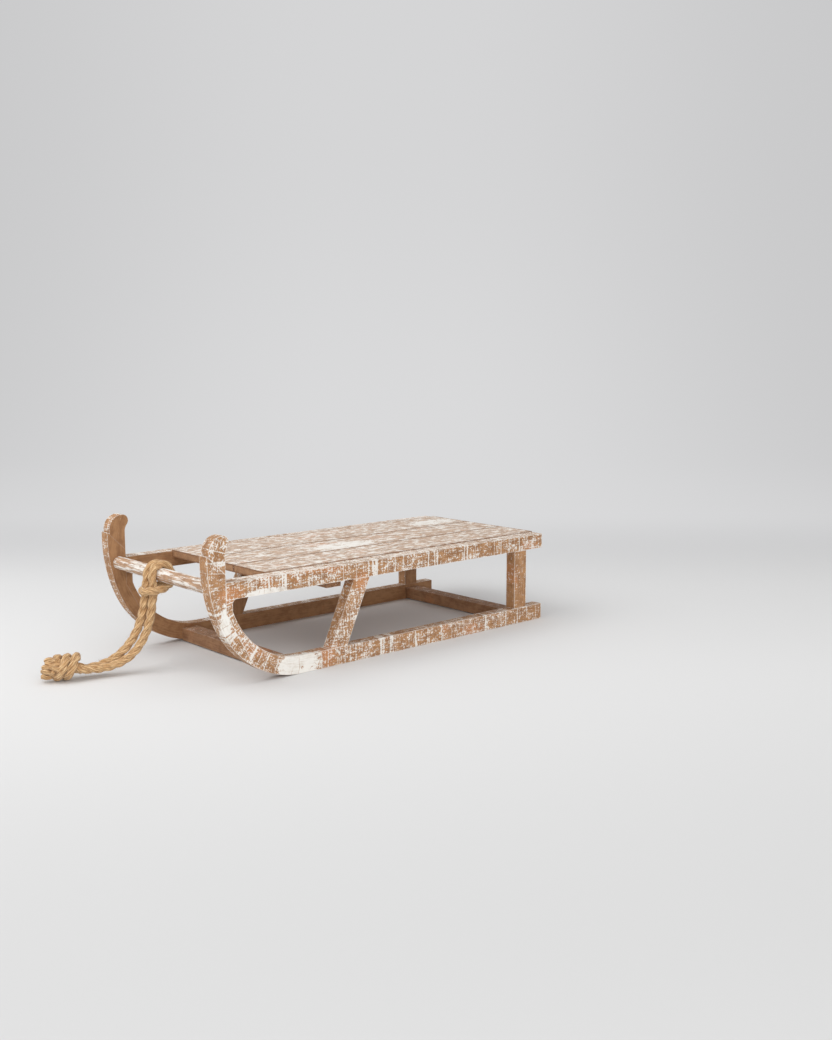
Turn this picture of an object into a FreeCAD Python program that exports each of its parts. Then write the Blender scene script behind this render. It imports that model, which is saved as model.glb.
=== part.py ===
"""A wooden sled: two bent runners, rails on posts and struts, three deck boards and a knotted tow rope.

Millimetres. +X is forward, +Y is left, +Z is up. The origin is on the floor, under the middle of the sled.
"""
import FreeCAD, Part
import math
import os

import Sketcher
from FreeCAD import Placement, Rotation, Vector

DIMENSIONS = {
    # overall
    "sled_length": 608,
    "sled_width": 270,
    "rail_top": 135.5,
    "horn_top": 194.5,
    # side frames: runners, horns, posts and struts
    "frame_thickness": 17,
    "runner_depth": 24,
    "bend_radius": 135,
    "bend_angle": 66.7,
    "horn_radius": 198,
    "horn_depth": 26,
    # where the runner's lamination meets the horn's
    "toe_angle": 33.3,
    "scarf_drop": 17.5,
    "inner_straight": 9.6,
    "underside_fillet": 6,
    # horn tips
    "tip_front_radius": 20,
    "tip_rear_radius": 8.5,
    "tip_setback": 3,
    "tip_neck_radius": 16,
    "tip_joint_drop": 23,
    "tip_joint_slope": 45,
    # top rails
    "rail_depth": 22,
    "rail_width": 21,
    # posts and struts
    "post_width": 26,
    "post_behind_rail_end": 36,
    "strut_width": 28,
    "strut_top": 62,
    "strut_foot": 102,
    # tenons
    "tenon_thickness": 7,
    "tenon_width": 15,
    "tenon_length": 8,
    "mortise_clearance": 0.2,
    # crossbars between the runners
    "crossbar_width": 24,
    "crossbar_height": 18,
    "crossbar_lift": 1.5,
    "front_crossbar_setback": 124,
    # deck
    "deck_setback": 97,
    "deck_rise": 1.5,
    "board_thickness": 10,
    "board_gap": 1,
    "right_board_width": 82,
    "middle_board_width": 74,
    "batten_width": 30,
    "batten_height": 10,
    "batten_setback": 70,
    "front_batten_width": 24,
    "front_batten_height": 25,
    "front_batten_setback": 113,
    # tow bar between the horns
    "bar_diameter": 18,
    "bar_rail_gap": 1,
    "bar_drop": 7.8,
    "spigot_diameter": 10,
    "spigot_length": 9,
    # rope
    "rope_diameter": 11,
    "hitch_width": 23,
    "hitch_place": -9,
    "hitch_clearance": 0.3,
    "knot_radius": 17.5,
    "knot_length": 50,
    "knot_heading": -22,
    "knot_grip": 1.5,
}

# Centre lines of the rope's two legs, from under the hitch down to the knot.
LEFT_LEG_ROUTE = [
    (301, -3.6, 104),
    (302.5, -4.2, 89),
    (305.5, -5, 70),
    (311.5, -6.4, 52),
    (320.5, -9, 35.5),
    (333.5, -13, 22),
    (348.5, -17.5, 15.2),
    (364.5, -21.8, 12.4),
    (380, -25.6, 12.6),
    (395.5, -29, 14.5),
]
RIGHT_LEG_ROUTE = [
    (306, -15.2, 104),
    (307.5, -15.8, 89),
    (312, -16.8, 70),
    (319, -18.8, 52),
    (329, -21.5, 36.5),
    (343.5, -25.5, 23),
    (358, -31.5, 15.2),
    (374, -37.5, 11.2),
    (390, -42, 11),
]
RADIUS_SHARE = 0.45
FLOOR_GAP = 0.2
KNOT_ROUNDING = 8

doc = FreeCAD.newDocument("Sled")
sheet = doc.addObject("Spreadsheet::Sheet", "Dimensions")
nodes = []


def fill_sheet():
    """Writes each driving dimension beside its name, as a cell with an alias."""
    for row, (name, value) in enumerate(DIMENSIONS.items(), start=1):
        sheet.set(f"A{row}", name)
        sheet.set(f"B{row}", str(value))
        sheet.setAlias(f"B{row}", name)
    doc.recompute()


def size(name):
    """A driving dimension's value."""
    return float(sheet.get(name))


def cells(text):
    """An expression with each driving dimension's name turned into its cell."""
    for name in sorted(DIMENSIONS, key=len, reverse=True):
        text = text.replace(f"[{name}]", f"Dimensions.{name}")
    return text


# Places that several pieces share, as expressions.
REAR = "(-[sled_length] / 2)"
FRONT = "([sled_length] / 2)"
HORN_REAR = f"({FRONT} - [horn_depth])"
RAIL_UNDERSIDE = "([rail_top] - [rail_depth])"
INNER_FACE = "([sled_width] / 2 - [frame_thickness])"
FRAME_MIDDLE = "([sled_width] / 2 - [frame_thickness] / 2)"
RAIL_INNER = "([sled_width] / 2 - [rail_width])"
POST_PLACE = f"({REAR} + [post_behind_rail_end] + [post_width] / 2)"
CROSSBAR_PLACE = f"({FRONT} - [front_crossbar_setback])"
DECK_FRONT = f"({FRONT} - [deck_setback])"
DECK_UNDERSIDE = "([rail_top] + [deck_rise] - [board_thickness])"
BEND_START = f"({FRONT} - [bend_radius] * sin([bend_angle]) - [horn_radius] * (1 - sin([bend_angle])))"
INNER_RADIUS = "([bend_radius] - [runner_depth])"
INNER_TOP = f"({RAIL_UNDERSIDE} - [underside_fillet] - [inner_straight])"
INNER_FRONT = f"({BEND_START} + sqrt({INNER_RADIUS} ^ 2 - ([bend_radius] - {INNER_TOP}) ^ 2))"
SCARF_TOP = f"({RAIL_UNDERSIDE} - [scarf_drop])"
TOE = (
    f"{BEND_START} + [bend_radius] * sin([toe_angle])",
    "[bend_radius] * (1 - cos([toe_angle]))",
)
TIP_JOINT_FRONT = "([horn_top] - [tip_joint_drop])"
TIP_JOINT_REAR = f"({TIP_JOINT_FRONT} - [horn_depth] * tan([tip_joint_slope]))"
BAR_AXIS = (f"({HORN_REAR} + [bar_rail_gap] + [bar_diameter] / 2)", "([rail_top] - [bar_drop])")


def origin_plane(body, role):
    """One of a body's own origin planes."""
    return next(feature for feature in body.Origin.OriginFeatures if feature.Role == role)


def place(thing, x="0", y="0", z="0"):
    """Binds a piece's position to expressions."""
    for axis, text in (("x", x), ("y", y), ("z", z)):
        thing.setExpression(f".Placement.Base.{axis}", cells(text))


def box(name, start, spans):
    """A box from its lowest corner and its three spans, each an expression."""
    block = doc.addObject("Part::Box", name)
    for side, text in zip(("Length", "Width", "Height"), spans):
        block.setExpression(side, cells(text))
    place(block, *start)
    return block


def centred_box(name, middle, spans, bottom):
    """A box centred on an x and y, standing on a height."""
    start = [f"{centre} - ({span}) / 2" for centre, span in zip(middle, spans)]
    return box(name, (*start, bottom), spans)


def rod(name, middle, diameter, start, span):
    """A round bar along +Y: its axis's x and z, diameter, first y and length, all expressions."""
    bar = doc.addObject("Part::Cylinder", name)
    bar.Placement = Placement(Vector(), Rotation(Vector(1, 0, 0), -90))
    bar.setExpression("Radius", cells(f"({diameter}) / 2"))
    bar.setExpression("Height", cells(span))
    place(bar, middle[0], start, middle[1])
    return bar


def fused(name, *parts):
    """Several solids as one."""
    union = doc.addObject("Part::MultiFuse", name)
    union.Shapes = list(parts)
    union.Refine = True
    return union


def cut(name, base, *tools):
    """A solid less its tools."""
    tool = tools[0] if len(tools) == 1 else fused(f"{name}_tools", *tools)
    rest = doc.addObject("Part::Cut", name)
    rest.Base = base
    rest.Tool = tool
    return rest


def node(name, piece):
    """Names a finished sub-part."""
    piece.Label = name
    nodes.append(piece)
    return piece


def value_of(text):
    """The number that an expression gives."""
    return float(sheet.evalExpression(cells(text)))


def arc_between(start, end, radius, turn):
    """An arc from start to end that turns left (turn 1) or right (turn -1), as sketch geometry."""
    chord = end - start
    sagitta_side = Vector(-chord.y, chord.x, 0).normalize() * turn
    centre = (start + end) / 2 + sagitta_side * math.sqrt(radius ** 2 - (chord.Length / 2) ** 2)
    first, last = (start, end) if turn > 0 else (end, start)
    angles = [math.atan2(point.y - centre.y, point.x - centre.x) for point in (first, last)]
    return Part.ArcOfCircle(Part.Circle(centre, Vector(0, 0, 1), radius), *angles)


def outline_sketch(body, name, corners):
    """A closed sketch in the XZ plane, with every corner and radius bound to the sheet.

    Each corner is (x, z) or (x, z, radius, turn). The last two say that the edge from this corner to the
    next is an arc, turning left (1) or right (-1). All but turn are expressions.
    """
    sketch = body.newObject("Sketcher::SketchObject", name)
    sketch.AttachmentSupport = [(origin_plane(body, "XZ_Plane"), "")]
    sketch.MapMode = "FlatFace"
    points = [Vector(value_of(corner[0]), value_of(corner[1]), 0) for corner in corners]
    ends = []
    for index, corner in enumerate(corners):
        start, end = points[index], points[(index + 1) % len(points)]
        turn = corner[3] if len(corner) > 2 else 1
        if len(corner) > 2:
            edge = sketch.addGeometry(arc_between(start, end, value_of(corner[2]), turn), False)
            radius = Sketcher.Constraint("Radius", edge, value_of(corner[2]))
            bind(sketch, radius, f"radius_{index}", corner[2])
        else:
            edge = sketch.addGeometry(Part.LineSegment(start, end), False)
        ends.append((edge, 1, 2) if turn > 0 else (edge, 2, 1))
    for index, (x, z) in enumerate(corner[:2] for corner in corners):
        edge, first, _ = ends[index]
        before, _, last = ends[index - 1]
        sketch.addConstraint(Sketcher.Constraint("Coincident", before, last, edge, first))
        for kind, text in (("DistanceX", x), ("DistanceY", z)):
            distance = Sketcher.Constraint(kind, -1, 1, edge, first, value_of(text))
            bind(sketch, distance, f"corner_{index}_{kind[-1].lower()}", text)
    return sketch


def bind(sketch, constraint, name, text):
    """Adds a named dimension to a sketch and binds it to an expression."""
    index = sketch.addConstraint(constraint)
    sketch.renameConstraint(index, name)
    sketch.setExpression(f"Constraints.{name}", cells(text))


def frame_piece(side, name, corners):
    """A piece of one side frame: its outline padded to the frame's thickness."""
    body = doc.addObject("PartDesign::Body", f"{side}_{name}_body")
    pad = body.newObject("PartDesign::Pad", f"{side}_{name}_pad")
    pad.Profile = outline_sketch(body, f"{side}_{name}_outline", corners)
    pad.setExpression("Length", cells("[frame_thickness]"))
    place(body, y=OUTER_FACE[side])
    return body


def tenon(side, name, x, bottom, slack="0"):
    """An upright tenon in the middle of a side frame, or with slack its mortise."""
    spans = (f"[tenon_width] + {slack}", f"[tenon_thickness] + {slack}", f"2 * [tenon_length] + {slack}")
    low = f"{bottom} - [tenon_length] - {slack} / 2"
    return centred_box(f"{side}_{name}", (x, FRAME_CENTRE[side]), spans, low)


def end_tenon(side, name, x, slack="0"):
    """A crossbar's end tenon, which lies in the runner, or with slack its mortise."""
    spans = (
        f"([tenon_width] + {slack})",
        f"([tenon_length] + {slack} / 2)",
        f"([tenon_thickness] + {slack})",
    )
    low = INNER_FACE if side == "left" else f"-{INNER_FACE} - {spans[1]}"
    start = (f"{x} - {spans[0]} / 2", low, f"[crossbar_lift] + ([crossbar_height] - {spans[2]}) / 2")
    return box(f"{side}_{name}", start, spans)


def runner(side):
    """The runner: the flat, and the rear lamination of the bend up to the rail's underside."""
    body = frame_piece(side, "runner", [
        (REAR, "0"),
        (BEND_START, "0", "[bend_radius]", 1),
        TOE,
        (HORN_REAR, SCARF_TOP),
        (HORN_REAR, RAIL_UNDERSIDE),
        (f"{INNER_FRONT} - [underside_fillet]", RAIL_UNDERSIDE, "[underside_fillet]", -1),
        (INNER_FRONT, f"{RAIL_UNDERSIDE} - [underside_fillet]"),
        (INNER_FRONT, INNER_TOP, INNER_RADIUS, -1),
        (BEND_START, "[runner_depth]"),
        (REAR, "[runner_depth]"),
    ])
    mortises = [
        tenon(side, "runner_post_mortise", POST_PLACE, "[runner_depth]", SLACK),
        tenon(side, "runner_strut_mortise", "[strut_foot]", "[runner_depth]", SLACK),
        end_tenon(side, "runner_front_mortise", CROSSBAR_PLACE, SLACK),
        end_tenon(side, "runner_rear_mortise", POST_PLACE, SLACK),
    ]
    return cut(f"{side}_runner_cut", body, *mortises)


def horn(side):
    """The horn: the front lamination of the bend, with a blind hole for the tow bar's spigot."""
    body = frame_piece(side, "horn", [
        (*TOE, "[bend_radius]", 1),
        (f"{BEND_START} + [bend_radius] * sin([bend_angle])", "[bend_radius] * (1 - cos([bend_angle]))",
         "[horn_radius]", 1),
        (FRONT, "[bend_radius] * (1 - cos([bend_angle])) + [horn_radius] * cos([bend_angle])"),
        (FRONT, TIP_JOINT_FRONT),
        (HORN_REAR, TIP_JOINT_REAR),
        (HORN_REAR, SCARF_TOP),
    ])
    hole = spigot(side, "horn_hole", SLACK)
    return cut(f"{side}_horn_cut", body, hole)


def horn_tip(side):
    """The rounded tip, set back a little from the horn's front, with a knob behind a hollow neck."""
    front = f"({FRONT} - [tip_setback])"
    crown = f"({front} - [tip_front_radius])"
    knob_z = "([horn_top] - [tip_rear_radius])"
    reach = "([tip_rear_radius] + [tip_neck_radius])"
    hollow_x = f"({HORN_REAR} - [tip_neck_radius])"
    hollow_z = f"({knob_z} - sqrt({reach} ^ 2 - ({crown} - {hollow_x}) ^ 2))"
    share = f"[tip_rear_radius] / {reach}"
    return frame_piece(side, "horn_tip", [
        (front, f"{TIP_JOINT_FRONT} - [tip_setback] * tan([tip_joint_slope])"),
        (front, "[horn_top] - [tip_front_radius]", "[tip_front_radius]", 1),
        (crown, "[horn_top]", "[tip_rear_radius]", 1),
        (f"{crown} - ({crown} - {hollow_x}) * {share}", f"{knob_z} - ({knob_z} - {hollow_z}) * {share}",
         "[tip_neck_radius]", -1),
        (HORN_REAR, hollow_z),
        (HORN_REAR, TIP_JOINT_REAR),
    ])


def rail(side):
    """The top rail, butted on the horn, with a mortise over the post and one over the strut."""
    low = RAIL_INNER if side == "left" else "-[sled_width] / 2"
    spans = (f"{HORN_REAR} - {REAR}", "[rail_width]", "[rail_depth]")
    bar = box(f"{side}_rail_bar", (REAR, low, RAIL_UNDERSIDE), spans)
    mortises = [
        tenon(side, "rail_post_mortise", POST_PLACE, RAIL_UNDERSIDE, SLACK),
        tenon(side, "rail_strut_mortise", "[strut_top]", RAIL_UNDERSIDE, SLACK),
    ]
    return cut(f"{side}_rail_cut", bar, *mortises)


def strut(side):
    """The strut, which leans back from the runner to the rail."""
    body = frame_piece(side, "strut", [
        ("[strut_foot] - [strut_width] / 2", "[runner_depth]"),
        ("[strut_foot] + [strut_width] / 2", "[runner_depth]"),
        ("[strut_top] + [strut_width] / 2", RAIL_UNDERSIDE),
        ("[strut_top] - [strut_width] / 2", RAIL_UNDERSIDE),
    ])
    tenons = [
        stub(side, "strut_foot_tenon", "[strut_foot]", "[runner_depth] - [tenon_length]"),
        stub(side, "strut_top_tenon", "[strut_top]", RAIL_UNDERSIDE),
    ]
    return fused(f"{side}_strut_whole", body, *tenons)


def stub(side, name, x, bottom):
    """A tenon's part that stands out of its piece."""
    spans = ("[tenon_width]", "[tenon_thickness]", "[tenon_length]")
    return centred_box(f"{side}_{name}", (x, FRAME_CENTRE[side]), spans, bottom)


def post(side):
    """The upright rear post."""
    spans = ("[post_width]", "[frame_thickness]", f"{RAIL_UNDERSIDE} - [runner_depth]")
    bar = centred_box(f"{side}_post_bar", (POST_PLACE, FRAME_CENTRE[side]), spans, "[runner_depth]")
    tenons = [
        stub(side, "post_foot_tenon", POST_PLACE, "[runner_depth] - [tenon_length]"),
        stub(side, "post_top_tenon", POST_PLACE, RAIL_UNDERSIDE),
    ]
    return fused(f"{side}_post_whole", bar, *tenons)


def crossbar(name, x):
    """A crossbar between the runners, with a tenon at each end."""
    spans = ("[crossbar_width]", f"2 * {INNER_FACE}", "[crossbar_height]")
    bar = centred_box(f"{name}_bar", (x, "0"), spans, "[crossbar_lift]")
    tenons = [end_tenon(side, f"{name}_tenon", x) for side in SIDES]
    return fused(f"{name}_whole", bar, *tenons)


def spigot(side, name, slack="0"):
    """A tow bar's spigot, or with slack its hole in the horn."""
    start = INNER_FACE if side == "left" else f"-{INNER_FACE} - [spigot_length] - {slack}"
    diameter, length = f"[spigot_diameter] + {slack}", f"[spigot_length] + {slack}"
    return rod(f"{side}_{name}", BAR_AXIS, diameter, start, length)


def tow_bar():
    """The round bar between the horns, with a spigot at each end."""
    bar = rod("tow_bar_rod", BAR_AXIS, "[bar_diameter]", f"-{INNER_FACE}", f"2 * {INNER_FACE}")
    return fused("tow_bar_whole", bar, *[spigot(side, "spigot") for side in SIDES])


def deck():
    """Three boards along the sled, a gap apart, between the rails."""
    first = f"-{RAIL_INNER}"
    second = f"({first} + [right_board_width] + [board_gap])"
    third = f"({second} + [middle_board_width] + [board_gap])"
    boards = (
        ("right_board", first, "[right_board_width]"),
        ("middle_board", second, "[middle_board_width]"),
        ("left_board", third, f"{RAIL_INNER} - {third}"),
    )
    for name, low, width in boards:
        spans = (f"{DECK_FRONT} - {REAR}", width, "[board_thickness]")
        node(name, box(f"{name}_box", (REAR, low, DECK_UNDERSIDE), spans))


def battens():
    """Three battens under the boards, from rail to rail. The front one stands on edge."""
    flat = ("[batten_width]", "[batten_height]")
    on_edge = ("[front_batten_width]", "[front_batten_height]")
    battens_from_front = (
        ("front_batten", f"({DECK_FRONT} - [front_batten_setback])", on_edge),
        ("middle_batten", f"({DECK_FRONT} + {REAR}) / 2", flat),
        ("rear_batten", f"({REAR} + [batten_setback])", flat),
    )
    for name, x, (width, height) in battens_from_front:
        spans = (width, f"2 * {RAIL_INNER}", height)
        node(name, centred_box(f"{name}_box", (x, "0"), spans, f"{DECK_UNDERSIDE} - {height}"))


def rope_hitch():
    """The cow hitch's outer shape: a sleeve round the tow bar and the block of rope under its front."""
    bore = "([bar_diameter] + 2 * [hitch_clearance])"
    sleeve_radius = f"({bore} / 2 + [rope_diameter])"
    first = "([hitch_place] - [hitch_width] / 2)"
    sleeve = rod("hitch_sleeve", BAR_AXIS, f"2 * {sleeve_radius}", first, "[hitch_width]")
    bottom = str(LEFT_LEG_ROUTE[0][2])
    block = box("hitch_block", (f"{BAR_AXIS[0]} + [bar_diameter] / 2", first, bottom),
                ("2 * [rope_diameter]", "[hitch_width]", f"{BAR_AXIS[1]} - {bottom}"))
    hole = rod("hitch_bore", BAR_AXIS, bore, f"{first} - 1", "[hitch_width] + 2")
    return cut("hitch_cut", fused("hitch_whole", sleeve, block), hole)


def rope_knot():
    """The end knot: a short rounded drum that lies on the floor and grips the legs' ends."""
    angle = math.radians(size("knot_heading"))
    heading = Vector(math.cos(angle), math.sin(angle), 0)
    ends = [Vector(*route[-1]) for route in (LEFT_LEG_ROUTE, RIGHT_LEG_ROUTE)]
    middle = (ends[0] + ends[1]) / 2 - heading * size("knot_grip")
    start = Vector(middle.x, middle.y, size("knot_radius") + FLOOR_GAP)
    drum = Part.makeCylinder(size("knot_radius"), size("knot_length"), start, heading)
    rims = [edge for edge in drum.Edges if isinstance(edge.Curve, Part.Circle)]
    return solid_feature("knot_drum", drum.makeFillet(KNOT_ROUNDING, rims))


def solid_feature(name, shape):
    """A document object that holds a shape made in code."""
    feature = doc.addObject("Part::Feature", name)
    feature.Shape = shape
    feature.Placement = Placement()
    return feature


def rounded_route(points):
    """Straight runs joined by the largest tangent arcs that they allow, as one wire, and the arcs' radii."""
    points = [Vector(*point) for point in points]
    edges, radii = [], []
    start = points[0]
    for before, corner, after in zip(points, points[1:], points[2:]):
        back, ahead = before - corner, after - corner
        half_turn = (math.pi - back.getAngle(ahead)) / 2
        setback = RADIUS_SHARE * min(back.Length, ahead.Length)
        radii.append(setback / math.tan(half_turn))
        enter = corner + back.normalize() * setback
        leave = corner + ahead.normalize() * setback
        to_centre = (back + ahead).normalize() * (radii[-1] / math.cos(half_turn))
        middle = corner + to_centre - to_centre / to_centre.Length * radii[-1]
        edges.append(Part.LineSegment(start, enter).toShape())
        edges.append(Part.Arc(enter, middle, leave).toShape())
        start = leave
    edges.append(Part.LineSegment(start, points[-1]).toShape())
    return Part.Wire(edges), radii


def rope_leg(name, route):
    """A plain tube along one leg of the rope."""
    path, radii = rounded_route(route)
    first = path.Edges[0]
    radius = size("rope_diameter") / 2
    start = first.Vertexes[0].Point
    circle = Part.Wire(Part.makeCircle(radius, start, first.tangentAt(first.FirstParameter)))
    tube = path.makePipeShell([circle], True, False)
    share = tube.Volume / (math.pi * radius ** 2 * path.Length)
    print(f"{name}: {path.Length:.1f} mm long, radii {[round(r) for r in radii]}, volume share {share:.4f}")
    return solid_feature(f"{name}_tube", tube)


def check():
    """Stops when an object failed or a sub-part isn't a valid solid."""
    doc.recompute()
    for thing in doc.Objects:
        if "Invalid" in thing.State or "Error" in thing.State:
            raise RuntimeError(f"{thing.Name} failed: {thing.State}")
    for piece in nodes:
        if piece.Shape.isNull() or not piece.Shape.isValid() or not piece.Shape.Solids:
            raise RuntimeError(f"{piece.Label} has no valid solid")


def export():
    """Writes each sub-part as a STEP file named after its node."""
    os.makedirs("parts", exist_ok=True)
    for piece in nodes:
        piece.Shape.exportStep(f"parts/{piece.Label}.step")
        limits = piece.Shape.optimalBoundingBox()
        print(f"{piece.Label}: {piece.Shape.Volume:.0f} mm3, x {limits.XMin:.1f}..{limits.XMax:.1f},"
              f" y {limits.YMin:.1f}..{limits.YMax:.1f}, z {limits.ZMin:.1f}..{limits.ZMax:.1f}")


SIDES = ("left", "right")
OUTER_FACE = {"left": "[sled_width] / 2", "right": f"-{INNER_FACE}"}
FRAME_CENTRE = {"left": FRAME_MIDDLE, "right": f"-{FRAME_MIDDLE}"}
SLACK = "[mortise_clearance]"

fill_sheet()
for side_name in SIDES:
    node(f"{side_name}_runner", runner(side_name))
    node(f"{side_name}_horn", horn(side_name))
    node(f"{side_name}_horn_tip", horn_tip(side_name))
    node(f"{side_name}_rail", rail(side_name))
    node(f"{side_name}_strut", strut(side_name))
    node(f"{side_name}_post", post(side_name))
node("front_crossbar", crossbar("front_crossbar", CROSSBAR_PLACE))
node("rear_crossbar", crossbar("rear_crossbar", POST_PLACE))
node("tow_bar", tow_bar())
deck()
battens()
node("rope_hitch", rope_hitch())
node("left_rope_leg", rope_leg("left_rope_leg", LEFT_LEG_ROUTE))
node("right_rope_leg", rope_leg("right_rope_leg", RIGHT_LEG_ROUTE))
node("rope_knot", rope_knot())
check()
export()
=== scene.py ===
"""The sled's looks: worn whitewash over brown wood, and a laid jute rope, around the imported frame."""
import math
import random

import bpy
import numpy as np
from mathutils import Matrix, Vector


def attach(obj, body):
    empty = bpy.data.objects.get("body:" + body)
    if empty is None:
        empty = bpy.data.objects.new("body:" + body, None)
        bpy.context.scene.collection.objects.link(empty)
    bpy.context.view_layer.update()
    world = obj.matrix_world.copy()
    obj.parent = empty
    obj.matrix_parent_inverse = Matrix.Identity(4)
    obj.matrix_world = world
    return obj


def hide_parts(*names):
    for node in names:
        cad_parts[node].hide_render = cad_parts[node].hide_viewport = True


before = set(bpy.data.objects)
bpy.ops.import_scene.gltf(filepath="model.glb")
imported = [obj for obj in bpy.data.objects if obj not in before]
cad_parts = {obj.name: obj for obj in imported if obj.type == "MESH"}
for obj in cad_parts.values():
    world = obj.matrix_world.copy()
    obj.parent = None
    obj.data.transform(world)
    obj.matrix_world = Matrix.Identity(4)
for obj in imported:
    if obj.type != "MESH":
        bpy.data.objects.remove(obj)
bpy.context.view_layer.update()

MM = 0.001
TAU = 2 * math.pi
SIDES = ("left", "right")

# ---------------------------------------------------------------- camera and light

CAMERA_PLACE = (1.0198, 1.2973, 0.411)
CAMERA_HEADING = -132.28
CAMERA_PITCH = -8.26
FOCAL_SHARE = 1130 / 1040
SENSOR_WIDTH = 36
VIEW_DEPTH = 30

# Each lamp's place, the point it looks at, its size in metres and its power in watts.
LAMPS = {
    "key": ((1.2, -0.3, 1.5), (0.1, 0, 0.05), 1.4, 13),
    "top": ((-0.1, 0.1, 2.1), (0, 0, 0), 2.0, 4),
    "fill": ((1.1, 2.0, 0.9), (0, 0, 0.05), 1.8, 21),
}
WORLD_STRENGTH = 0.73


def add_camera():
    """The camera at the photograph's angle: its focal length is a share of the picture's long side."""
    data = bpy.data.cameras.new("camera")
    data.sensor_width = SENSOR_WIDTH
    data.lens = data.sensor_width * FOCAL_SHARE
    data.clip_end = VIEW_DEPTH
    camera = bpy.data.objects.new("camera", data)
    camera.location = CAMERA_PLACE
    heading, pitch = math.radians(CAMERA_HEADING), math.radians(CAMERA_PITCH)
    level = math.cos(pitch)
    look = Vector((math.cos(heading) * level, math.sin(heading) * level, math.sin(pitch)))
    camera.rotation_euler = look.to_track_quat("-Z", "Y").to_euler()
    bpy.context.scene.collection.objects.link(camera)
    bpy.context.scene.camera = camera


def add_lamp(name, place, target, size, power):
    """A soft square lamp that looks at a point."""
    data = bpy.data.lights.new(name, "AREA")
    data.shape = "SQUARE"
    data.size = size
    data.energy = power
    lamp = bpy.data.objects.new(name, data)
    lamp.location = place
    lamp.rotation_euler = (Vector(target) - Vector(place)).to_track_quat("-Z", "Y").to_euler()
    bpy.context.scene.collection.objects.link(lamp)


def add_light():
    """Soft light from above and from the front, with a pale world."""
    for name, settings in LAMPS.items():
        add_lamp(name, *settings)
    world = bpy.data.worlds.new("studio")
    world.use_nodes = True
    background = world.node_tree.nodes["Background"]
    background.inputs["Color"].default_value = (1, 1, 1, 1)
    background.inputs["Strength"].default_value = WORLD_STRENGTH
    bpy.context.scene.world = world


# ---------------------------------------------------------------- node helpers


class Nodes:
    """A short way to build a material's nodes: each call adds one node and returns its output."""

    def __init__(self, name):
        self.material = bpy.data.materials.new(name)
        self.material.use_nodes = True
        self.tree = self.material.node_tree
        self.shader = self.tree.nodes["Principled BSDF"]

    def add(self, kind, inputs, output=0, **settings):
        """A node with its settings and its inputs, by name or number."""
        node = self.tree.nodes.new(kind)
        for key, value in settings.items():
            setattr(node, key, value)
        for key, value in inputs.items():
            self.feed(node.inputs[key], value)
        return node.outputs[output]

    def feed(self, socket, value):
        """Links an output to a socket, or sets the socket's own value."""
        if isinstance(value, bpy.types.NodeSocket):
            self.tree.links.new(value, socket)
        else:
            socket.default_value = value

    def split(self, vector):
        """A vector's three parts."""
        node = self.tree.nodes.new("ShaderNodeSeparateXYZ")
        self.feed(node.inputs[0], vector)
        return node.outputs

    def join(self, x, y, z):
        """A vector of three parts."""
        return self.add("ShaderNodeCombineXYZ", {0: x, 1: y, 2: z})

    def place(self):
        """The place on the object, in metres in the sled's frame."""
        return self.add("ShaderNodeTexCoord", {}, 3)

    def math(self, operation, a, b=0.0):
        """A sum of two numbers or outputs."""
        return self.add("ShaderNodeMath", {0: a, 1: b}, operation=operation)

    def total(self, *terms):
        """The sum of (value, share) pairs."""
        parts = [self.math("MULTIPLY", value, share) for value, share in terms]
        result = parts[0]
        for part in parts[1:]:
            result = self.math("ADD", result, part)
        return result

    def stretched(self, vector, x, y, z):
        """Coordinates scaled along each axis."""
        return self.add("ShaderNodeVectorMath", {0: vector, 1: (x, y, z)}, operation="MULTIPLY")

    def noise(self, vector, scales, detail=3.0, roughness=0.6):
        """Noise with its own scale, per metre, along each axis."""
        return self.add("ShaderNodeTexNoise", {"Vector": self.stretched(vector, *scales), "Scale": 1.0,
                                               "Detail": detail, "Roughness": roughness})

    def step(self, value, low, high, to_low=0.0, to_high=1.0):
        """A smooth step of a value between two limits."""
        limits = {"Value": value, 1: low, 2: high, 3: to_low, 4: to_high}
        return self.add("ShaderNodeMapRange", limits, interpolation_type="SMOOTHSTEP")

    def mix(self, share, a, b):
        """A mix of two colours."""
        return self.add("ShaderNodeMix", {0: share, 6: a, 7: b}, 2, data_type="RGBA")


def paint(red, green, blue):
    """A linear colour from the usual 0-255 values."""
    def linear(value):
        value /= 255
        return value / 12.92 if value <= 0.04045 else ((value + 0.055) / 1.055) ** 2.4
    return (linear(red), linear(green), linear(blue), 1)


# ---------------------------------------------------------------- wood

# The front bend's start and radius, in metres, which the grain follows.
BEND_START = 0.1639
BEND_RADIUS = 0.135

BROWN, DARK_BROWN, ORANGE_BROWN = (184, 139, 97), (146, 105, 71), (206, 138, 90)
# The second inner colour is the crossbars' dark grain brown and also painted shade, mixed onto the hidden
# faces of every piece.
INNER_BROWN, INNER_DARK_AND_SHADE = (172, 130, 96), (130, 93, 65)
WASH, THIN_WASH = (238, 235, 229), (214, 204, 191)
# Dark brown for the board rims: worn bare wood with painted shade of the gaps between the boards.
GAP_SHADE_BROWN = (112, 76, 50)

# Noise scales per metre: one along the grain, two across it.
FIBRES = (40, 700, 700)
RINGS = (7, 95, 95)
SLOW = (14, 24, 24)
BLOTCHES = (70, 90, 90)
SPECKS = (450, 560, 560)
ROWS = (90, 520, 520)
COLUMNS = (460, 75, 75)
BOARD_STREAKS = (60, 150, 150)
BAR_STREAKS = (22, 260, 260)
CROSS_LINES = (44, 0.8, 0.8)
CRACKS = (75, 40, 40)
EDGE_WEAR = (120, 120, 120)
RAGGED = (170, 170, 170)

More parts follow.
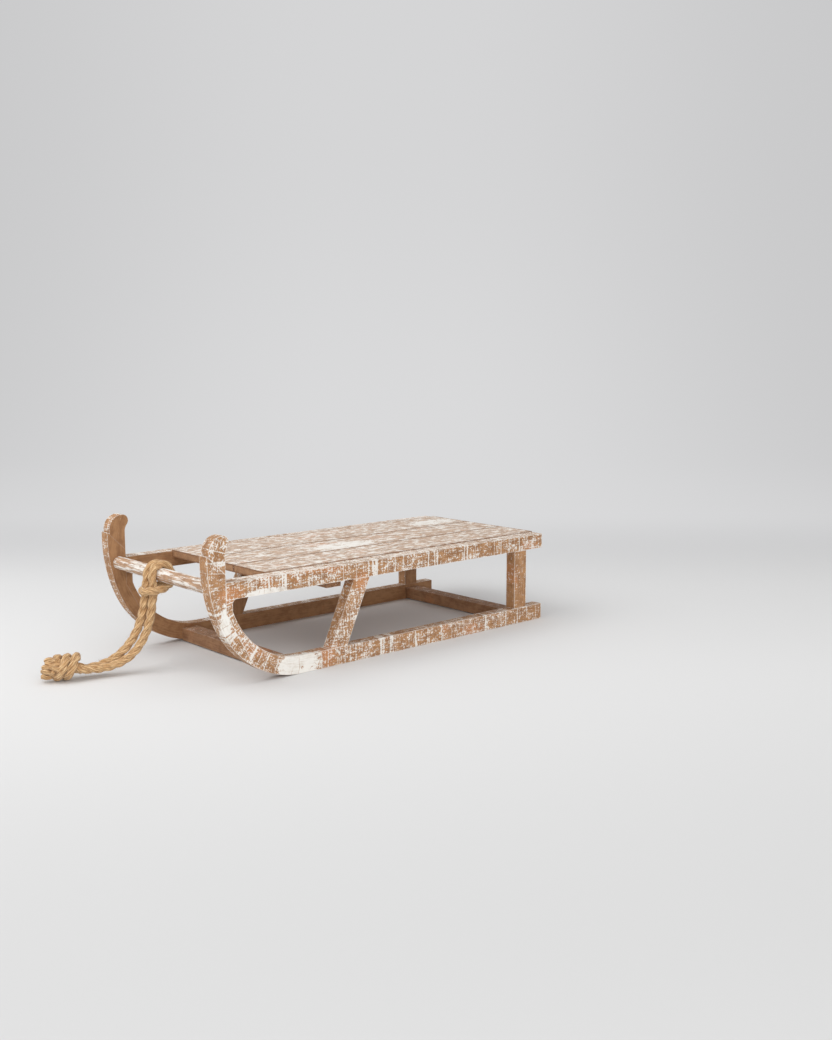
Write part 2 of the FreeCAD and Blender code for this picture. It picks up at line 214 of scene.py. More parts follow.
EDGE_SAMPLES = 6
EDGE_WIDTH = 0.0018
BOARD_RIM_WIDTH = 0.005
CROSS_LINE_WIDTH = 0.012
CRACK_WIDTH = 0.014
RAGGED_SHARE = 1.8
SOFT_PATCH, HARD_PATCH = 0.6, 0.12
SPECK_COVER, WHOLE_COVER = 0.9, 0.97
INSIDE_SHADE = 0.35
GRAIN_DEPTH = 0.0006

BEVEL_WIDTH = 0.9 * MM
BEVEL_SEGMENTS = 3
BEVEL_ANGLE = 35

# Places where the paint is whole, and where the wood shows orange: centre and half sizes in metres.
RUNNER_WHITE = [((0.168, 0.135, 0.012), (0.036, 0.012, 0.020))]
HORN_WHITE = [((0.279, 0.135, 0.083), (0.008, 0.012, 0.024))]
RAIL_WHITE = [((0.222, 0.135, 0.116), (0.030, 0.012, 0.005))]
DECK_WHITE = [
    ((0.0, 0.018, 0.137), (0.060, 0.022, 0.010)),
    ((-0.255, -0.063, 0.137), (0.045, 0.022, 0.010)),
]
ORANGE_PATCHES = [
    ((0.271, 0.135, 0.119), (0.016, 0.020, 0.010)),
    ((0.062, 0.130, 0.108), (0.013, 0.030, 0.013)),
    ((0.123, 0.135, 0.016), (0.013, 0.020, 0.014)),
]


def straight_grain(axis):
    """Makes coordinates whose first one runs along an axis of the sled."""
    order = {"X": (0, 1, 2), "Y": (1, 0, 2), "Z": (2, 1, 0)}[axis]

    def coordinates(nodes):
        parts = nodes.split(nodes.place())
        return nodes.join(*[parts[index] for index in order])
    return coordinates


def bent_grain(nodes):
    """Coordinates whose first one follows the runner round its front bend."""
    x, y, z = nodes.split(nodes.place())
    ahead = nodes.math("SUBTRACT", x, BEND_START)
    below = nodes.math("SUBTRACT", BEND_RADIUS, z)
    angle = nodes.math("ARCTAN2", ahead, below)
    ahead_squared = nodes.math("MULTIPLY", ahead, ahead)
    below_squared = nodes.math("MULTIPLY", below, below)
    radius = nodes.math("SQRT", nodes.total((ahead_squared, 1.0), (below_squared, 1.0)))
    past = nodes.math("GREATER_THAN", ahead, 0.0)
    before = nodes.math("SUBTRACT", 1.0, past)

    def chosen(bent, straight):
        return nodes.math("ADD", nodes.math("MULTIPLY", bent, past), nodes.math("MULTIPLY", straight, before))
    along = chosen(nodes.math("MULTIPLY", angle, BEND_RADIUS), ahead)
    depth = chosen(nodes.math("SUBTRACT", BEND_RADIUS, radius), z)
    return nodes.join(along, y, depth)


def open_sides(nodes, front):
    """1 on faces that look up or away from the sled's middle, front on those that look ahead, 0 elsewhere."""
    normal = nodes.split(nodes.add("ShaderNodeNewGeometry", {}, 1))
    side = nodes.math("SIGN", nodes.split(nodes.place())[1])
    outward = nodes.math("MULTIPLY", normal[1], side)
    outer = nodes.step(nodes.math("MAXIMUM", outward, normal[2]), 0.25, 0.6)
    ahead = nodes.step(normal[0], 0.3, 0.8, 0.0, front)
    return nodes.math("MAXIMUM", outer, ahead)


def edge_mask(nodes, width):
    """1 along a piece's edges, found where the normal of a rounded surface leaves the flat one's."""
    rounded = nodes.add("ShaderNodeBevel", {"Radius": width}, samples=EDGE_SAMPLES)
    flat = nodes.add("ShaderNodeNewGeometry", {}, 3)
    turn = nodes.add("ShaderNodeVectorMath", {0: rounded, 1: flat}, 1, operation="DOT_PRODUCT")
    return nodes.step(turn, 0.975, 0.88)


def patch_mask(nodes, patches, softness):
    """1 inside any of the patches, with ragged edges that are soft by some share of their size."""
    ragged = nodes.noise(nodes.place(), RAGGED, 4.0, 0.7)
    rim = 1 + RAGGED_SHARE / 2
    result = 0.0
    for centre, halves in patches:
        offset = nodes.add("ShaderNodeVectorMath", {0: nodes.place(), 1: centre}, operation="SUBTRACT")
        scaled = nodes.stretched(offset, *[1 / half for half in halves])
        distance = nodes.add("ShaderNodeVectorMath", {0: scaled}, 1, operation="LENGTH")
        edge = nodes.total((distance, 1.0), (ragged, RAGGED_SHARE))
        result = nodes.math("MAXIMUM", result, nodes.step(edge, rim + softness, rim - softness))
    return result


def thin_lines(nodes, vector, scales, width):
    """1 along the thin lines where a noise crosses its middle."""
    noise = nodes.noise(vector, scales, 1.0, 0.4)
    return nodes.step(nodes.math("ABSOLUTE", nodes.math("SUBTRACT", noise, 0.5)), width, width * 0.4)


class Grain:
    """The noises that a piece of wood shares between its colour, its paint and its surface."""

    def __init__(self, nodes, coordinates, seed):
        shift = (seed, seed * 0.7, seed * 0.3)
        place = coordinates(nodes)
        self.along = nodes.add("ShaderNodeVectorMath", {0: place, 1: shift}, operation="ADD")
        self.fibres = nodes.noise(self.along, FIBRES, 5.0, 0.62)
        self.rings = nodes.noise(self.along, RINGS, 3.0, 0.55)
        self.slow = nodes.noise(self.along, SLOW, 4.0, 0.6)
        self.blotches = nodes.noise(self.along, BLOTCHES, 4.0, 0.65)


def bare_wood(nodes, grain, browns, orange, opened, rim_and_gap_shade):
    """The wood's colour: two browns, orange in places, darker along a rim of worn brown wood with painted
    shade of the board gaps, and painted shade on hidden faces.
    """
    mixed = nodes.total((grain.fibres, 0.4), (grain.rings, 0.1), (grain.blotches, 0.5))
    wood = nodes.mix(nodes.step(mixed, 0.38, 0.60), paint(*browns[1]), paint(*browns[0]))
    warm_places = nodes.step(grain.slow, 0.56, 0.7, 0.0, 0.5)
    warm = nodes.math("MAXIMUM", warm_places, nodes.math("MULTIPLY", orange, 0.5))
    wood = nodes.mix(warm, wood, paint(*ORANGE_BROWN))
    # Dark rim along the edges: worn brown wood, with painted shade of the gaps between boards.
    wood = nodes.mix(rim_and_gap_shade, wood, paint(*GAP_SHADE_BROWN))
    # Painted shade: faces that look inward or down are mixed towards the dark inner brown.
    hidden = nodes.math("SUBTRACT", 1.0, opened)
    return nodes.mix(nodes.math("MULTIPLY", hidden, INSIDE_SHADE), wood, paint(*INNER_DARK_AND_SHADE))


def wash_texture(nodes, along, streaks, streak_scales):
    """The paint's fine texture, about 0.5: a weave of specks, or streaks along the grain."""
    specks = nodes.noise(along, SPECKS, 2.0, 0.7)
    rows = nodes.noise(along, ROWS, 2.0, 0.5)
    columns = nodes.noise(along, COLUMNS, 2.0, 0.5)
    lengthwise = nodes.noise(along, streak_scales, 4.0, 0.68)
    plain = 1.0 - streaks
    woven = nodes.total((specks, 0.8 * plain), (rows, 0.5 * plain), (columns, 0.5 * plain))
    return nodes.total((woven, 1.0), (lengthwise, 1.6 * streaks), (1.0, -0.4 * plain - 0.3 * streaks))


def whole_paint(nodes, grain, patches, opened):
    """1 where the paint is whole but for a few cracks."""
    cracks = thin_lines(nodes, grain.along, CRACKS, CRACK_WIDTH)
    cracks = nodes.math("MULTIPLY", cracks, nodes.step(grain.slow, 0.48, 0.52))
    whole = nodes.math("MULTIPLY", patch_mask(nodes, patches, HARD_PATCH), opened)
    return nodes.math("MULTIPLY", whole, nodes.math("SUBTRACT", 1.0, cracks))


def edge_paint(nodes, grain, edges, opened, edge):
    """The paint that gathers on the edges, broken in places."""
    worn = nodes.step(nodes.noise(grain.along, EDGE_WEAR, 3.0), 0.32, 0.44, 0.0, edge)
    shown = nodes.total((opened, 0.85), (1.0, 0.12))
    return nodes.math("MULTIPLY", shown, nodes.math("MULTIPLY", edges, worn))


def aged_wood(name, coordinates, seed, wash, inside=0.12, top=0.0, front=0.9, streaks=0.0, lines=0.0,
              wear=0.45, veil=0.0, edge=0.95, edge_width=EDGE_WIDTH, rim=0.0, white=(),
              browns=(BROWN, DARK_BROWN), streak_scales=BOARD_STREAKS):
    """Brown wood under worn whitewash.

    wash and inside are how much paint is left on the open and on the hidden faces, and top what faces that
    look up have besides. front is how open the faces that look ahead are. streaks is how far the paint's
    texture runs along the grain, with streak_scales as its noise scales. lines is how strong the thin lines
    across the grain are, wear how unevenly the paint has gone and veil how much is left everywhere. edge is
    the paint on the edges, rim the dark line there, worn brown wood with painted shade of the board gaps,
    edge_width the width of both, and white the places where the paint is whole.
    """
    nodes = Nodes(name)
    grain = Grain(nodes, coordinates, seed)
    edges = edge_mask(nodes, edge_width)
    # The rim mask marks worn brown edges and the painted shade of the board gaps.
    rim_and_gap_shade = nodes.math("MULTIPLY", edges, rim)
    orange = patch_mask(nodes, ORANGE_PATCHES, SOFT_PATCH)
    opened = open_sides(nodes, front)
    wood = bare_wood(nodes, grain, browns, orange, opened, rim_and_gap_shade)

    texture = wash_texture(nodes, grain.along, streaks, streak_scales)
    uneven = nodes.total((grain.slow, 0.6 * wear), (grain.blotches, 0.4 * wear), (1.0, -0.5 * wear))
    crossing = thin_lines(nodes, grain.along, CROSS_LINES, CROSS_LINE_WIDTH)
    crossing = nodes.math("MULTIPLY", crossing, opened)
    facing_up = nodes.step(nodes.split(nodes.add("ShaderNodeNewGeometry", {}, 1))[2], 0.5, 0.8)
    level = nodes.total((texture, 1.0), (uneven, 1.0), (opened, wash - inside), (1.0, inside),
                        (facing_up, top), (crossing, lines), (orange, -0.05))
    cover = nodes.step(level, 0.94, 1.06, 0.0, SPECK_COVER)
    if white:
        whole = whole_paint(nodes, grain, white, opened)
        cover = nodes.math("MAXIMUM", cover, nodes.math("MULTIPLY", whole, WHOLE_COVER))
    cover = nodes.math("MAXIMUM", cover, nodes.math("MULTIPLY", opened, veil))
    cover = nodes.math("MAXIMUM", cover, edge_paint(nodes, grain, edges, opened, edge))
    cover = nodes.math("MULTIPLY", cover, nodes.math("SUBTRACT", 1.0, rim_and_gap_shade))

    tone = nodes.step(nodes.total((grain.fibres, 0.5), (grain.blotches, 0.5)), 0.34, 0.54)
    wash_colour = nodes.mix(tone, paint(*THIN_WASH), paint(*WASH))
    nodes.feed(nodes.shader.inputs["Base Color"], nodes.mix(cover, wood, wash_colour))
    nodes.feed(nodes.shader.inputs["Roughness"], nodes.step(cover, 0.0, 1.0, 0.62, 0.82))
    nodes.shader.inputs["Specular IOR Level"].default_value = 0.3

    height = nodes.total((grain.fibres, 0.6), (grain.blotches, 0.5), (cover, 0.5))
    bump = nodes.add("ShaderNodeBump", {"Strength": 0.6, "Distance": GRAIN_DEPTH, "Height": height})
    nodes.feed(nodes.shader.inputs["Normal"], bump)
    return nodes.material


def finish_node(name, material):
    """Gives a CAD node its material and worn, rounded edges."""
    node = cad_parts[name]
    node.data.materials.clear()
    node.data.materials.append(material)
    bevel = node.modifiers.new("worn_edges", "BEVEL")
    bevel.width = BEVEL_WIDTH
    bevel.segments = BEVEL_SEGMENTS
    bevel.limit_method = "ANGLE"
    bevel.angle_limit = math.radians(BEVEL_ANGLE)
    bevel.harden_normals = True


def finish_frames():
    """The bent frames: specked wash outside, plain brown inside darkened by painted shade, with some paint
    inside the tips.
    """
    bends = {
        "runner": {"white": RUNNER_WHITE},
        "horn": {"white": HORN_WHITE},
        "horn_tip": {"inside": 0.2},
    }
    for number, side in enumerate(SIDES):
        for index, (part, settings) in enumerate(bends.items()):
            seed = 3.1 * number + 1.7 * index
            wood = aged_wood(f"{side}_{part}_wood", bent_grain, seed, 0.42, lines=0.2, **settings)
            finish_node(f"{side}_{part}", wood)


def finish_rails():
    """The rails, with the most paint on their tops."""
    for number, side in enumerate(SIDES):
        rail = aged_wood(f"{side}_rail_wood", straight_grain("X"), 1.3 + 1.6 * number, 0.43, top=0.08,
                         lines=0.3, white=RAIL_WHITE)
        finish_node(f"{side}_rail", rail)


def finish_uprights():
    """The slanted struts, and the rear posts with the least paint."""
    for number, side in enumerate(SIDES):
        strut = aged_wood(f"{side}_strut_wood", straight_grain("Z"), 4.1 + 1.6 * number, 0.46, inside=0.16)
        finish_node(f"{side}_strut", strut)
        post = aged_wood(f"{side}_post_wood", straight_grain("Z"), 5.2 + 1.6 * number, 0.35)
        finish_node(f"{side}_post", post)


def finish_inside():
    """Crossbars and battens: plain brown, with a little wash on their tops."""
    stained = aged_wood("stained_wood", straight_grain("Y"), 7.3, 0.34, front=0.2, edge=0.35,
                        browns=(INNER_BROWN, INNER_DARK_AND_SHADE))
    for name in ("front_crossbar", "rear_crossbar", "front_batten", "middle_batten", "rear_batten"):
        finish_node(name, stained)


def finish_deck():
    """The deck boards: a thin veil of wash, worn through along the grain, and dark rims of worn brown wood
    with painted shade of the gaps between boards.
    """
    for index, name in enumerate(("right_board", "middle_board", "left_board")):
        board = aged_wood(f"{name}_wood", straight_grain("X"), 11.1 + 3.7 * index, 0.49, front=0.15,
                          streaks=0.7, wear=0.2, veil=0.25, edge=0.0, edge_width=BOARD_RIM_WIDTH, rim=0.9,
                          white=DECK_WHITE)
        finish_node(name, board)


def finish_bar():
    """The tow bar: heavy wash in long streaks all round."""
    bar = aged_wood("tow_bar_wood", straight_grain("Y"), 8.8, 0.49, inside=0.46, streaks=0.9, wear=0.3,
                    veil=0.12, streak_scales=BAR_STREAKS)
    finish_node("tow_bar", bar)


# ---------------------------------------------------------------- rope

ROPE_DIAMETER = 11 * MM
STRANDS = 3
STRAND_SHARE = 0.52
LAY_LENGTH = 42 * MM
YARNS = 6
RING = 24
ROPE_STEP = 0.9 * MM
FLUTE = 0.07
YARN_TURN = 190
SPLINE_STEPS = 16
FIRST_ACROSS = (0.3, 0.5, 0.8)
BLUNT_TIP = 0.02

# Centre lines of the rope's two legs in millimetres, from under the hitch down to the knot.
LEFT_LEG_ROUTE = [
    (301, -3.6, 104),
    (302.5, -4.2, 89),
    (305.5, -5, 70),
    (311.5, -6.4, 52),
    (320.5, -9, 35.5),
    (333.5, -13, 22),
    (348.5, -17.5, 15.2),
    (364.5, -21.8, 12.4),
    (380, -25.6, 12.6),
    (395.5, -29, 14.5),
]
RIGHT_LEG_ROUTE = [
    (306, -15.2, 104),
    (307.5, -15.8, 89),
    (312, -16.8, 70),
    (319, -18.8, 52),
    (329, -21.5, 36.5),
    (343.5, -25.5, 23),
    (358, -31.5, 15.2),
    (374, -37.5, 11.2),
    (390, -42, 11),
]

# The hitch, from the right leg's top over the bar, round the front of both legs and over the bar again.
HITCH_ROUTE = [
    (306, -15.2, 100),
    (305, -15.2, 110),
    (303.5, -15, 120),
    (303, -14.8, 130),
    (298, -14.6, 139),
    (288, -14.4, 142),
    (277.5, -14.4, 138),
    (273, -14.5, 128),
    (275, -15.5, 117),
    (283, -20, 110.5),
    (294, -22, 108),
    (304, -20.5, 107.5),
    (310.5, -15, 107.5),
    (312.5, -8, 108),
    (310, -0.5, 108.5),
    (302, 4.5, 108.5),
    (291, 5, 110),
    (281, 2, 113),
    (274, -1, 119),
    (272.5, -3, 128),
    (277.5, -3.4, 138),
    (288, -3.5, 142),
    (297.5, -3.6, 139),
    (301.5, -3.6, 130),
    (301, -3.6, 120),
    (300.5, -3.6, 110),
    (301, -3.6, 100),
]

KNOT_PLACE = (391.5, -35, 18)
KNOT_HEADING = -22


def smooth_line(route, name):
    """The smooth line of a route, in metres: a NURBS spline on its control points, read back as points."""
    curve = bpy.data.curves.new(name, "CURVE")
    curve.dimensions = "3D"
    spline = curve.splines.new("NURBS")
    spline.points.add(len(route) - 1)
    for point, place in zip(spline.points, route):
        point.co = (*(value * MM for value in place), 1)
    spline.order_u = 3
    spline.use_endpoint_u = True
    spline.resolution_u = SPLINE_STEPS
    holder = bpy.data.objects.new(name, curve)
    bpy.context.scene.collection.objects.link(holder)
    mesh = bpy.data.meshes.new_from_object(holder)
    points = np.array([vertex.co[:] for vertex in mesh.vertices])
    bpy.data.objects.remove(holder)
    bpy.data.curves.remove(curve)
    bpy.data.meshes.remove(mesh)
    return points


def even_points(points, gap):
    """Points along a line at an even gap, and how far along it each lies."""
    runs = np.linalg.norm(np.diff(points, axis=0), axis=1)
    along = np.concatenate([[0], np.cumsum(runs)])
    count = max(4, int(round(along[-1] / gap)))
    places = np.linspace(0, along[-1], count + 1)
    return np.stack([np.interp(places, along, points[:, axis]) for axis in range(3)], 1), places


def line_frames(points):
    """Two directions across a line at each of its points, carried along it without twist."""
    ahead = np.gradient(points, axis=0)
    ahead /= np.linalg.norm(ahead, axis=1)[:, None]
    across = np.cross(ahead[0], FIRST_ACROSS)
    firsts = []
    for direction in ahead:
        across = across - direction * np.dot(across, direction)
        across = across / np.linalg.norm(across)
        firsts.append(across)
    firsts = np.array(firsts)
    return firsts, np.cross(ahead, firsts)


def strand_tube(mesh_parts, lane, along, radius, tip):
    """Adds one strand's fluted tube to the mesh parts. tip closes its far end as a round stub."""
    vertices, faces, marks = mesh_parts
    side, other = line_frames(lane)
    start = len(vertices)
    rings = len(lane)
    for index in range(rings):
        left = (along[-1] - along[index]) / radius
        taper = math.sqrt(max(BLUNT_TIP, 1 - (1 - left) ** 2)) if tip and left < 1 else 1
        for step in range(RING):
            angle = TAU * step / RING
            flute = 1 + FLUTE * math.cos(YARNS * angle - YARN_TURN * along[index])
            out = math.cos(angle) * side[index] + math.sin(angle) * other[index]
            vertices.append(lane[index] + radius * taper * flute * out)
            marks.append((angle / TAU * YARNS, along[index]))
    for index in range(rings - 1):
        for step in range(RING):
            a = start + index * RING + step
            b = start + index * RING + (step + 1) % RING
            faces.append((a, b, b + RING, a + RING))
    faces.append(tuple(start + step for step in reversed(range(RING))))
    faces.append(tuple(start + (rings - 1) * RING + step for step in range(RING)))


def laid_rope(name, points, turn=0.0, swell=1.0, splay=0.0, tip=False):
    """A three-strand rope along a line, each strand fluted by its yarns, as one mesh.

    splay is how far the strands have come apart at the far end, as a share of their offset.
    """
    centres, along = even_points(points, ROPE_STEP)
    first, second = line_frames(centres)
    radius = ROPE_DIAMETER / 2 * STRAND_SHARE * swell
    share = along / along[-1]
    offset = (ROPE_DIAMETER / 2 * swell - radius) * (1 + splay * share ** 2)
    mesh_parts = ([], [], [])
    for strand in range(STRANDS):
        phase = TAU * (along / LAY_LENGTH + strand / STRANDS) + turn
        out = np.cos(phase)[:, None] * first + np.sin(phase)[:, None] * second
        strand_tube(mesh_parts, centres + offset[:, None] * out, along, radius, tip)
    return link_mesh(name, *mesh_parts), centres


def link_mesh(name, vertices, faces, marks):
    """A smooth mesh object with a UV layer that follows the yarns."""
    mesh = bpy.data.meshes.new(name)
    mesh.from_pydata([tuple(vertex) for vertex in vertices], [], faces)
    layer = mesh.uv_layers.new(name="lay")
    for loop in mesh.loops:
        layer.data[loop.index].uv = marks[loop.vertex_index]
    mesh.polygons.foreach_set("use_smooth", [True] * len(mesh.polygons))
    mesh.update()
    piece = bpy.data.objects.new(name, mesh)
    bpy.context.scene.collection.objects.link(piece)
    return piece


FUZZ_SEED = 5
FUZZ_PER_METRE = 3200
FUZZ_LENGTH = (2.0 * MM, 5.5 * MM)
FUZZ_WIDTH = 0.14 * MM
FUZZ_FLOOR = 0.3 * MM
FUZZ_ROOT = (0.75, 0.95)
FUZZ_SIDEWAYS = 0.7
FUZZ_RISE = 0.55
FUZZ_LEAN = 0.6
FUZZ_TAPER = 0.7
FUZZ_SIDES = 3


def rope_fuzz(name, lines, radius):
    """Loose fibres that stand out of the rope, as thin curved slivers."""
    draw = random.Random(FUZZ_SEED)
    vertices, faces, marks = [], [], []
    for line in lines:
        first, second = line_frames(line)
        ahead = np.gradient(line, axis=0)
        ahead /= np.linalg.norm(ahead, axis=1)[:, None]
        for _ in range(int(FUZZ_PER_METRE * ROPE_STEP * len(line))):
            index = draw.randrange(len(line))
            angle = draw.uniform(0, TAU)
            out = math.cos(angle) * first[index] + math.sin(angle) * second[index]
            aside = np.cross(ahead[index], out)
            root = line[index] + out * radius * draw.uniform(*FUZZ_ROOT)
            length = draw.uniform(*FUZZ_LENGTH)
            lean = ahead[index] * draw.uniform(-1, 1) + aside * draw.uniform(-FUZZ_SIDEWAYS, FUZZ_SIDEWAYS)
            start = len(vertices)
            for share in (0, 0.5, 1):
                middle = root + length * (out * FUZZ_RISE * share + lean * FUZZ_LEAN * share * share)
                middle[2] = max(middle[2], FUZZ_FLOOR)
                width = FUZZ_WIDTH * (1 - FUZZ_TAPER * share)
                for corner in range(FUZZ_SIDES):
                    spin = TAU * corner / FUZZ_SIDES
                    vertices.append(middle + width * (math.cos(spin) * aside + math.sin(spin) * ahead[index]))
                    marks.append((corner, share))
            for level in (0, FUZZ_SIDES):
                for corner in range(FUZZ_SIDES):
                    a = start + level + corner
                    b = start + level + (corner + 1) % FUZZ_SIDES
                    faces.append((a, b, b + FUZZ_SIDES, a + FUZZ_SIDES))
    return link_mesh(name, vertices, faces, marks)


ROPE_SHADE, ROPE_LIGHT = (154, 112, 72), (232, 200, 154)
# The groove colour is painted shade in the creases between the yarns.
ROPE_MIDDLE, ROPE_GROOVE_SHADE = (194, 150, 102), (134, 94, 56)
YARN_FIBRES = (2.2, 120, 1)
ROPE_PATCHES = (110, 110, 110)
FIBRE_DEPTH = 0.0005


def jute():
    """Golden tan jute: pale fibres along each strand, with painted shade in the grooves between the yarns."""
    nodes = Nodes("jute")
    lay = nodes.add("ShaderNodeTexCoord", {}, 2)
    fibres = nodes.noise(lay, YARN_FIBRES, 6.0, 0.75)
    patches = nodes.noise(nodes.place(), ROPE_PATCHES, 5.0, 0.7)
    colour = nodes.mix(nodes.step(fibres, 0.38, 0.60), paint(*ROPE_SHADE), paint(*ROPE_LIGHT))
    colour = nodes.mix(nodes.step(patches, 0.42, 0.62, 0.0, 0.6), colour, paint(*ROPE_MIDDLE))
    across, length, _ = nodes.split(lay)
    # Painted shade: darker where the flutes dip between the yarns.
    wave = nodes.math("COSINE", nodes.total((across, TAU), (length, -YARN_TURN)))
    colour = nodes.mix(nodes.step(wave, -0.3, -1.0, 0.0, 0.5), colour, paint(*ROPE_GROOVE_SHADE))
    nodes.feed(nodes.shader.inputs["Base Color"], colour)
    nodes.shader.inputs["Roughness"].default_value = 0.85
    nodes.shader.inputs["Specular IOR Level"].default_value = 0.2
    nodes.shader.inputs["Sheen Weight"].default_value = 0.2
    height = nodes.total((fibres, 1.0), (patches, 0.3))
    bump = nodes.add("ShaderNodeBump", {"Strength": 0.9, "Distance": FIBRE_DEPTH, "Height": height})
    nodes.feed(nodes.shader.inputs["Normal"], bump)
    return nodes.material


def dress(piece, material, *replaced):
    """Puts a rope piece on the sled's body, in its material, in place of CAD nodes."""
    piece.data.materials.append(material)
    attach(piece, "root")
    if replaced:
        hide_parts(*replaced)


def knot_point(forward, left, high):
    """A point in millimetres, from the knot's start: along its axis, to its left and up."""
    heading = math.radians(KNOT_HEADING)
    x, y, z = KNOT_PLACE
    return (x + forward * math.cos(heading) - left * math.sin(heading),
            y + forward * math.sin(heading) + left * math.cos(heading), z + high)


WRAP_RADIUS = 12
WRAP_START = 6
WRAP_PITCH = 11.5
WRAP_LEAN = 4
WRAP_STEPS = 12
WRAP_OVERLAP = 4
LEG_SWELL, CORE_SWELL, KNOT_SWELL = 1.03, 1.3, 1.08
END_SPLAY = 0.6
HITCH_TURN = 1.0


def knot_lines():
    """The routes of the knot's pieces: two slanting wraps, the core inside and the four unlaid ends."""
    wraps = []
    for index in range(2 * WRAP_STEPS + WRAP_OVERLAP):
        angle = TAU * (index - WRAP_OVERLAP / 2) / WRAP_STEPS
        forward = WRAP_START + WRAP_PITCH * index / WRAP_STEPS - WRAP_LEAN * math.cos(angle)
        wraps.append(knot_point(forward, WRAP_RADIUS * math.sin(angle), WRAP_RADIUS * math.cos(angle)))
    return {
        "rope_knot_wraps": wraps,
        "rope_knot_core": [knot_point(*place) for place in (
            (-3, 5, -4), (6, 4, -1), (16, 1, 2), (24, -2, 3), (31, -3, 0))],
        "rope_knot_upper_end": [knot_point(*place) for place in (
            (14, 2, -2), (22, 1, 3), (30, 0, 6), (37, -1, 7), (42, -1, 5))],
        "rope_knot_lower_end": [knot_point(*place) for place in (
            (14, -2, -6), (24, 0, -7), (34, 1, -8), (42, 1, -8), (48, 1, -8))],
        "rope_knot_middle_end": [knot_point(*place) for place in (
            (18, 0, 0), (27, 2, -1), (35, 4, -1), (41, 5, -1), (46, 5, -2))],
        "rope_knot_near_end": [knot_point(*place) for place in (
            (18, -4, 0), (24, 2, 1), (28, 7, 1), (33, 10, 1), (36, 12, 0))],
    }


def add_rope():
    """The rope: two legs, the hitch on the tow bar, the end knot and loose fibres."""
    material = jute()
    legs, lines = {}, []
    for name, route in (("left_rope_leg", LEFT_LEG_ROUTE), ("right_rope_leg", RIGHT_LEG_ROUTE)):
        rope, centres = laid_rope(f"{name}_strands", smooth_line(route, f"{name}_line"), swell=LEG_SWELL)
        dress(rope, material, name)
        legs[name] = (rope, centres)
        lines.append(centres)
    hitch, centres = laid_rope("rope_hitch_strands", smooth_line(HITCH_ROUTE, "hitch_line"), turn=HITCH_TURN)
    dress(hitch, material, "rope_hitch")
    lines.append(centres)
    knot_parts = []
    for index, (name, route) in enumerate(knot_lines().items()):
        end = name.endswith("_end")
        swell = CORE_SWELL if name.endswith("_core") else KNOT_SWELL
        part, centres = laid_rope(name, smooth_line(route, f"{name}_line"), turn=index, tip=end,
                                  splay=END_SPLAY if end else 0.0, swell=swell)
        dress(part, material, *(["rope_knot"] if index == 0 else []))
        knot_parts.append(part)
        lines.append(centres)
    fuzz = rope_fuzz("rope_fuzz", lines, ROPE_DIAMETER / 2)
    dress(fuzz, material)
    for name, extras in (("left_rope_leg", [hitch]), ("right_rope_leg", knot_parts)):
        rope, centres = legs[name]


# ---------------------------------------------------------------- stage

FLOOR_BACK = -4.0
SWEEP_START = 2.6
SWEEP_RADIUS = 1.2
BACKDROP_TOP = 4.5
FLOOR_HALF_WIDTH = 6.0
FLOOR_DROP = 0.0002
# Floor tones and backdrop glow are painted light fall-off: brightest in the middle, darker near the camera,
# far off, higher up and to the sides.
NEAR_FLOOR, MIDDLE_FLOOR, FAR_FLOOR = (202, 202, 202), (223, 223, 223), (208, 208, 209)
# Distances from the sled's middle over which the floor and the backdrop change, in metres.
NEAR_FADE, FAR_FADE = (-1.0, -0.1), (0.3, 1.2)
LIT_FADE, SIDE_FADE, HEIGHT_FADE = (0.35, 1.3), (0.2, 2.2), (0.0, 1.4)
SIDE_SHARE = 0.8
SWEEP_STEPS = 17
LOW_BACKDROP, HIGH_BACKDROP, SIDE_BACKDROP = (218, 218, 219), (213, 213, 214), (199, 199, 200)


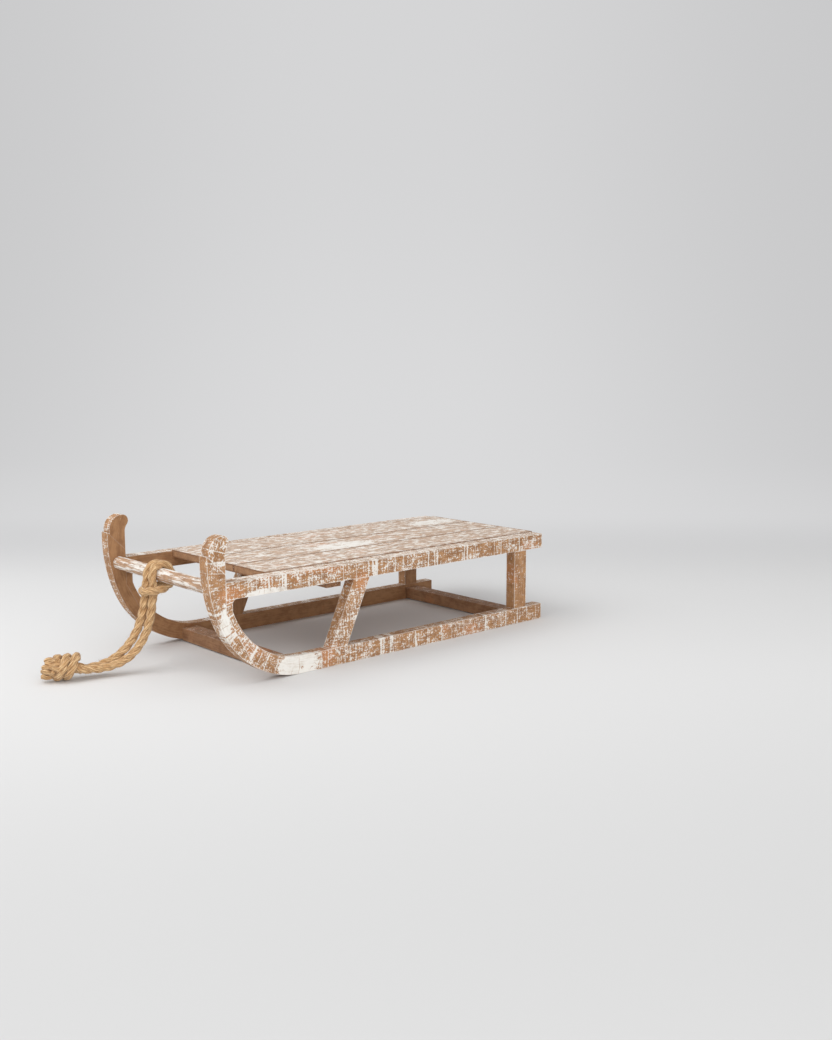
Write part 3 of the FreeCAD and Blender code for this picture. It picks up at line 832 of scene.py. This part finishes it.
def floor_material(ahead, aside):
    """Pale matt floor, a little darker away from the camera and darker near it as painted light fall-off,
    which becomes a backdrop whose glow is painted darker upwards and to the sides.
    """
    nodes = Nodes("pale_floor")
    place = nodes.place()
    away = nodes.add("ShaderNodeVectorMath", {0: place, 1: tuple(ahead)}, 1, operation="DOT_PRODUCT")
    sideways = nodes.add("ShaderNodeVectorMath", {0: place, 1: tuple(aside)}, 1, operation="DOT_PRODUCT")
    # Painted light fall-off: the floor's colour changes with distance from the camera.
    floor = nodes.mix(nodes.step(away, *NEAR_FADE), paint(*NEAR_FLOOR), paint(*MIDDLE_FLOOR))
    floor = nodes.mix(nodes.step(away, *FAR_FADE), floor, paint(*FAR_FLOOR))
    nodes.feed(nodes.shader.inputs["Base Color"], floor)
    nodes.shader.inputs["Roughness"].default_value = 0.9
    nodes.shader.inputs["Specular IOR Level"].default_value = 0.1
    height = nodes.split(place)[2]
    lit = nodes.tree.nodes.new("ShaderNodeEmission")
    # Painted light fall-off: the backdrop's glow is darker higher up and to the sides.
    middle = nodes.mix(nodes.step(height, *HEIGHT_FADE), paint(*LOW_BACKDROP), paint(*HIGH_BACKDROP))
    to_side = nodes.step(nodes.math("ABSOLUTE", sideways), *SIDE_FADE, 0.0, SIDE_SHARE)
    nodes.feed(lit.inputs["Color"], nodes.mix(to_side, middle, paint(*SIDE_BACKDROP)))
    rays = nodes.tree.nodes.new("ShaderNodeLightPath")
    seen = nodes.math("MAXIMUM", rays.outputs["Is Camera Ray"], rays.outputs["Is Glossy Ray"])
    seen = nodes.math("MAXIMUM", seen, rays.outputs["Is Transmission Ray"])
    both = nodes.tree.nodes.new("ShaderNodeMixShader")
    nodes.feed(both.inputs[0], nodes.math("MULTIPLY", seen, nodes.step(away, *LIT_FADE)))
    nodes.feed(both.inputs[1], nodes.shader.outputs[0])
    nodes.feed(both.inputs[2], lit.outputs[0])
    nodes.feed(nodes.tree.nodes["Material Output"].inputs["Surface"], both.outputs[0])
    return nodes.material


def add_floor():
    """A pale floor that sweeps up into a backdrop, square to the camera's heading."""
    heading = math.radians(CAMERA_HEADING)
    ahead = Vector((math.cos(heading), math.sin(heading), 0))
    aside = Vector((-ahead.y, ahead.x, 0))
    sweep = [(SWEEP_START + SWEEP_RADIUS * math.sin(turn), SWEEP_RADIUS * (1 - math.cos(turn)))
             for turn in np.linspace(0, math.pi / 2, SWEEP_STEPS)]
    profile = [(FLOOR_BACK, 0), *sweep, (SWEEP_START + SWEEP_RADIUS, BACKDROP_TOP)]
    vertices, faces = [], []
    for distance, height in profile:
        for side in (-FLOOR_HALF_WIDTH, FLOOR_HALF_WIDTH):
            vertices.append(tuple(ahead * distance + aside * side + Vector((0, 0, height - FLOOR_DROP))))
    for index in range(len(profile) - 1):
        a = 2 * index
        faces.append((a, a + 1, a + 3, a + 2))
    mesh = bpy.data.meshes.new("floor")
    mesh.from_pydata(vertices, [], faces)
    mesh.polygons.foreach_set("use_smooth", [True] * len(mesh.polygons))
    floor = bpy.data.objects.new("floor", mesh)
    bpy.context.scene.collection.objects.link(floor)
    mesh.materials.append(floor_material(ahead, aside))


bpy.context.scene.view_settings.view_transform = "Standard"
add_camera()
add_rope()
finish_frames()
finish_rails()
finish_uprights()
finish_inside()
finish_deck()
finish_bar()
add_floor()
add_light()
